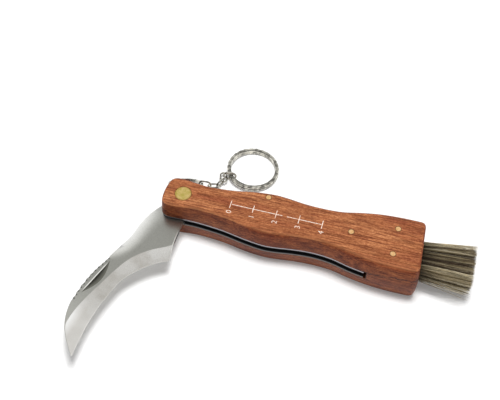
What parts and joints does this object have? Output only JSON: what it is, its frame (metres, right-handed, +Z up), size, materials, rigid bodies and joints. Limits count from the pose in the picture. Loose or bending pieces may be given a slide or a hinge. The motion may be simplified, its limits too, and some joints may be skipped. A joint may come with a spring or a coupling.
{
  "type": "mushroom knife",
  "caption": "Folding mushroom knife: hooked blade, wooden handle with a bristle brush at its end, and a key ring on a short chain.",
  "frame": {"origin": "middle of the lower flat face of the wood, halfway along it and on the line through the blade's pivot", "axes": "+X from the blade's pivot to the brush, -Y the belly side that the blade folds into, +Y the back, +Z up through the thickness as the knife lies on its side"},
  "size_m": [0.1569, 0.1265, 0.0202],
  "materials": {
    "handle_wood": "reddish-brown hardwood, fine straight grain, satin oil finish",
    "satin_steel": "satin flats with a brighter ground edge",
    "spring_steel": "plain stamped steel sheet",
    "brass": "polished, flush with the wood",
    "nickel": "bright nickel plate",
    "brush_wood": "plain unfinished wood",
    "bristle_hair": "stiff natural boar bristle, dark at the root and straw coloured at some tips"
  },
  "bodies": {
    "handle": {"handle_body": "handle_wood", "liner_upper": "spring_steel", "liner_lower": "spring_steel", "back_spring": "spring_steel", "pivot_rivet": "brass", "spring_pin": "brass", "tail_pin": "brass", "brush_pin_back": "brass", "brush_pin_belly": "brass", "brush_block": "brush_wood", "bristles": "bristle_hair", "lanyard_pin": "spring_steel"},
    "blade": {"blade": "satin_steel"},
    "lanyard_ring": {"lanyard_ring": "nickel"},
    "link_1": {"chain_link_1": "nickel"},
    "link_2": {"chain_link_2": "nickel"},
    "link_3": {"chain_link_3": "nickel"},
    "link_4": {"chain_link_4": "nickel"},
    "clasp": {"ring_clasp": "nickel"},
    "key_ring": {"key_ring": "nickel"}
  },
  "joints": [
    {"name": "blade_pivot", "type": "hinge", "parent": "handle", "child": "blade", "pos_m": [-0.0478, 0, 0.0101], "axis": [0, 0, 1], "range_deg": [-69, 101]},
    {"name": "lanyard_swivel", "type": "hinge", "parent": "handle", "child": "lanyard_ring", "pos_m": [-0.0514, 0.0113, 0.0101], "axis": [0, 0, 1], "range_deg": [-5, 20]},
    {"name": "link_1_turn", "type": "hinge", "parent": "lanyard_ring", "child": "link_1", "pos_m": [-0.04675, 0.01747, 0.00538], "axis": [0, 0, 1], "range_deg": [-5, 10]},
    {"name": "link_2_turn", "type": "hinge", "parent": "link_1", "child": "link_2", "pos_m": [-0.04159, 0.0185, 0.00415], "axis": [0, 0, 1], "range_deg": [-5, 15]},
    {"name": "link_3_turn", "type": "hinge", "parent": "link_2", "child": "link_3", "pos_m": [-0.03903, 0.01965, 0.00351], "axis": [0, 0, 1], "range_deg": [-5, 15]},
    {"name": "link_4_turn", "type": "hinge", "parent": "link_3", "child": "link_4", "pos_m": [-0.03731, 0.02462, 0.0023], "axis": [0, 0, 1], "range_deg": [-5, 15]},
    {"name": "clasp_turn", "type": "hinge", "parent": "link_4", "child": "clasp", "pos_m": [-0.03806, 0.02692, 0.0023], "axis": [0, 0, 1], "range_deg": [-5, 10]},
    {"name": "key_ring_flip", "type": "hinge", "parent": "clasp", "child": "key_ring", "pos_m": [-0.03476, 0.02751, 0.00265], "axis": [0.6157, -0.788, 0], "range_deg": [0, 60]}
  ]
}
